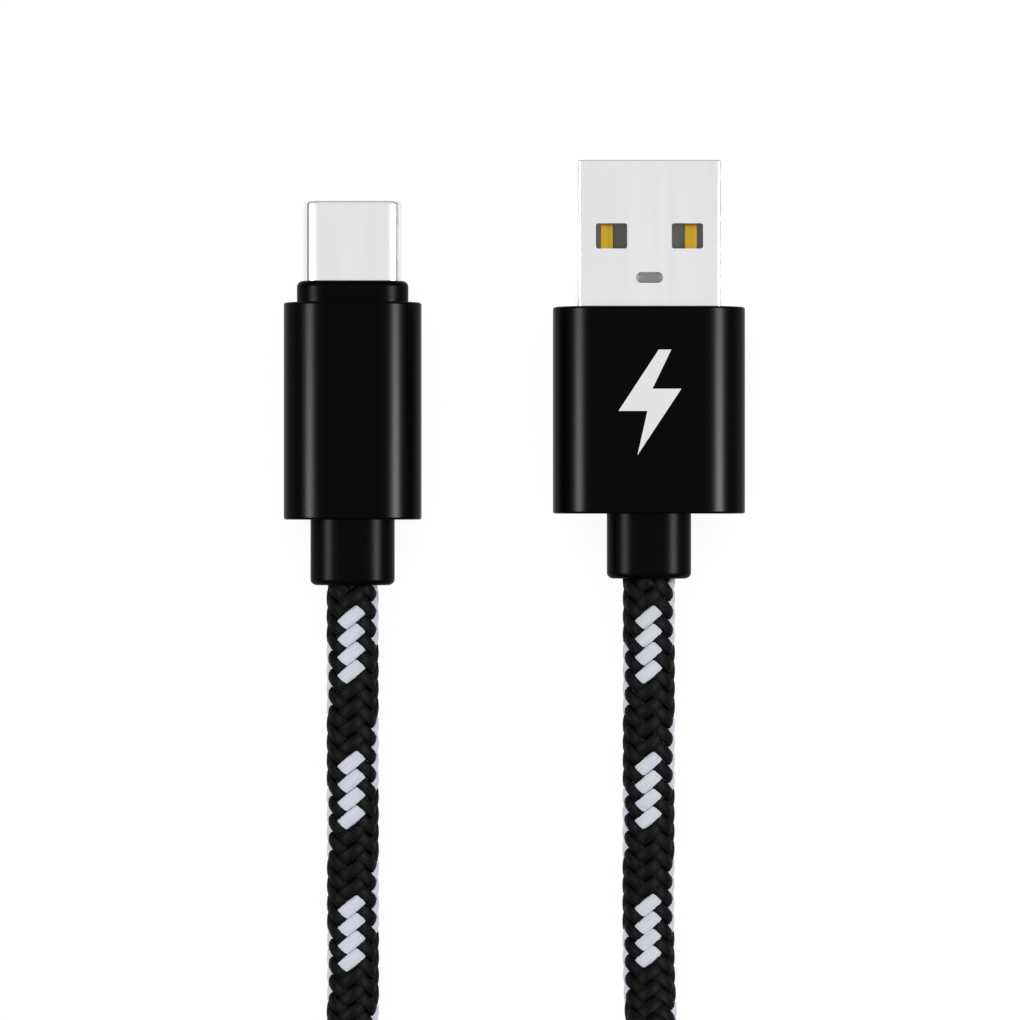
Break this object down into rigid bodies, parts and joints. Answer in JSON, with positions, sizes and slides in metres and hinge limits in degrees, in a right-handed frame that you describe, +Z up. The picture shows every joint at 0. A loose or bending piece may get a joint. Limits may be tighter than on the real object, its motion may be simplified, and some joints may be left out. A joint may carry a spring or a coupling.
{
  "type": "charging cable",
  "caption": "Braided charging cable: a USB-A plug and a USB-C plug in slim metal sleeves, its cord folded into a strapped hank.",
  "frame": {"origin": "on the table, under the middle of the two plugs taken together", "axes": "+Y towards the tips of both plugs, +Z up from the table, +X from the USB-C plug to the USB-A plug"},
  "size_m": [0.0407, 0.1998, 0.0112],
  "materials": {
    "plated_steel": "nickel plated, satin",
    "black_anodised": "black anodised, fine bead-blasted satin",
    "black_plastic": "moulded, matt",
    "grey_plastic": "moulded, matt",
    "housing_plastic": "moulded, matt",
    "gold_plating": "gold plated",
    "wire_red": "insulation",
    "wire_white": "insulation",
    "wire_green": "insulation",
    "wire_black": "insulation",
    "solder": "tin solder",
    "tinned_can": "tinned",
    "spring_steel": "spring steel",
    "green_board": "solder mask",
    "chip_ceramic": "ceramic chip",
    "cable_jacket": "soft jacket",
    "braid_black": "braided nylon",
    "strap_fabric": "hook-and-loop webbing"
  },
  "bodies": {
    "root": {"a_cable_end": "cable_jacket", "a_contact_d_minus": "gold_plating", "a_contact_d_plus": "gold_plating", "a_contact_ground": "gold_plating", "a_contact_vbus": "gold_plating", "a_core": "black_plastic", "a_shell": "plated_steel", "a_shield_can": "tinned_can", "a_sleeve": "black_anodised", "a_solder_joints": "solder", "a_strain_relief": "black_plastic", "a_tongue": "grey_plastic", "a_wire_black": "wire_black", "a_wire_green": "wire_green", "a_wire_red": "wire_red", "a_wire_white": "wire_white", "c_board": "green_board", "c_cable_end": "cable_jacket", "c_capacitor": "chip_ceramic", "c_collar": "black_plastic", "c_contacts_lower": "gold_plating", "c_contacts_upper": "gold_plating", "c_core": "black_plastic", "c_ground_spring_lower": "spring_steel", "c_ground_spring_upper": "spring_steel", "c_housing": "housing_plastic", "c_latch_plate": "spring_steel", "c_resistor": "chip_ceramic", "c_shell": "plated_steel", "c_shield_can": "tinned_can", "c_sleeve": "black_anodised", "c_solder_joints": "solder", "c_strain_relief": "black_plastic", "c_wire_black": "wire_black", "c_wire_green": "wire_green", "c_wire_red": "wire_red", "c_wire_white": "wire_white", "cord_hank": "braid_black", "cord_run_a": "braid_black", "cord_run_c": "braid_black", "hank_strap": "strap_fabric"}
  },
  "joints": []
}
